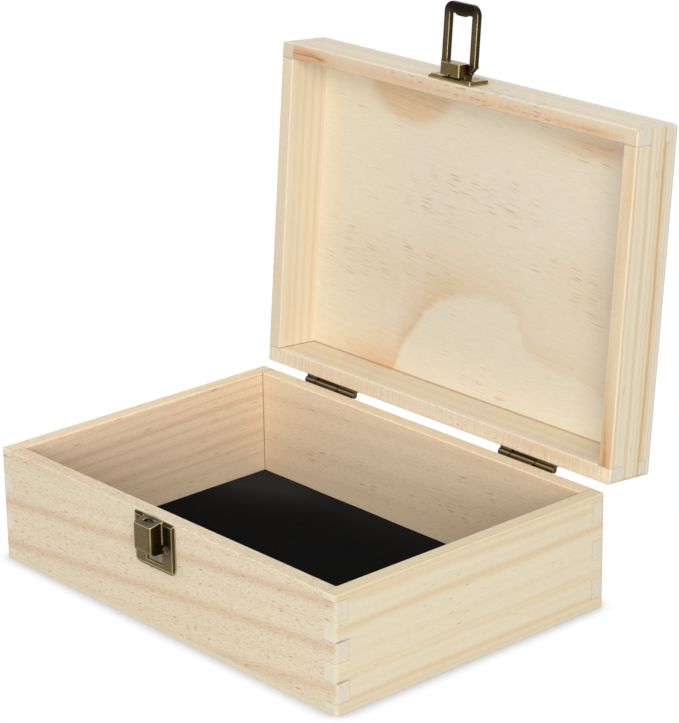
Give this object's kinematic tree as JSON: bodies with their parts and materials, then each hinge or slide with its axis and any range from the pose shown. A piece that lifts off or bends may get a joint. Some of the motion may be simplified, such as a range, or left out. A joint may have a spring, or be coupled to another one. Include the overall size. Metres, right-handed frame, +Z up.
{
  "type": "keepsake box",
  "caption": "Finger-jointed pine keepsake box with a lid on stop hinges, a swing-loop latch in antique brass and a black felt liner.",
  "frame": {"origin": "centre of the base's underside, on the surface the box stands on", "axes": "+Z up, the front with the catch towards -Y, +X to the right as seen from the front; the lid is stored open"},
  "size_m": [0.22, 0.2, 0.2398],
  "materials": {
    "pine": "unfinished sanded pale pine with soft tan grain",
    "plywood": "unfinished sanded pine plywood",
    "felt": "matte black felt",
    "brass": "antique brass, darkened, with brighter edges"
  },
  "bodies": {
    "base": {"base_front_wall": "pine", "base_back_wall": "pine", "base_left_wall": "pine", "base_right_wall": "pine", "base_floor_panel": "plywood", "felt_liner": "felt", "hinge_left_base_leaf": "brass", "hinge_right_base_leaf": "brass", "hinge_left_pin": "brass", "hinge_right_pin": "brass", "hinge_base_screws": "brass", "catch_plate": "brass", "catch_screws": "brass"},
    "lid": {"lid_front_wall": "pine", "lid_back_wall": "pine", "lid_left_wall": "pine", "lid_right_wall": "pine", "lid_top_panel": "plywood", "hinge_left_lid_leaf": "brass", "hinge_right_lid_leaf": "brass", "hinge_lid_screws": "brass", "hasp_plate": "brass", "hasp_screws": "brass"},
    "loop": {"hasp_loop": "brass"}
  },
  "joints": [
    {"name": "lid_hinge", "type": "hinge", "parent": "base", "child": "lid", "pos_m": [-0.0017, 0.0785, 0.0523], "axis": [1, 0, 0], "range_deg": [0, 95]},
    {"name": "hasp_swing", "type": "hinge", "parent": "lid", "child": "loop", "pos_m": [-0.0017, 0.09974, 0.2102], "axis": [1, 0, 0], "range_deg": [-98, 90]}
  ]
}
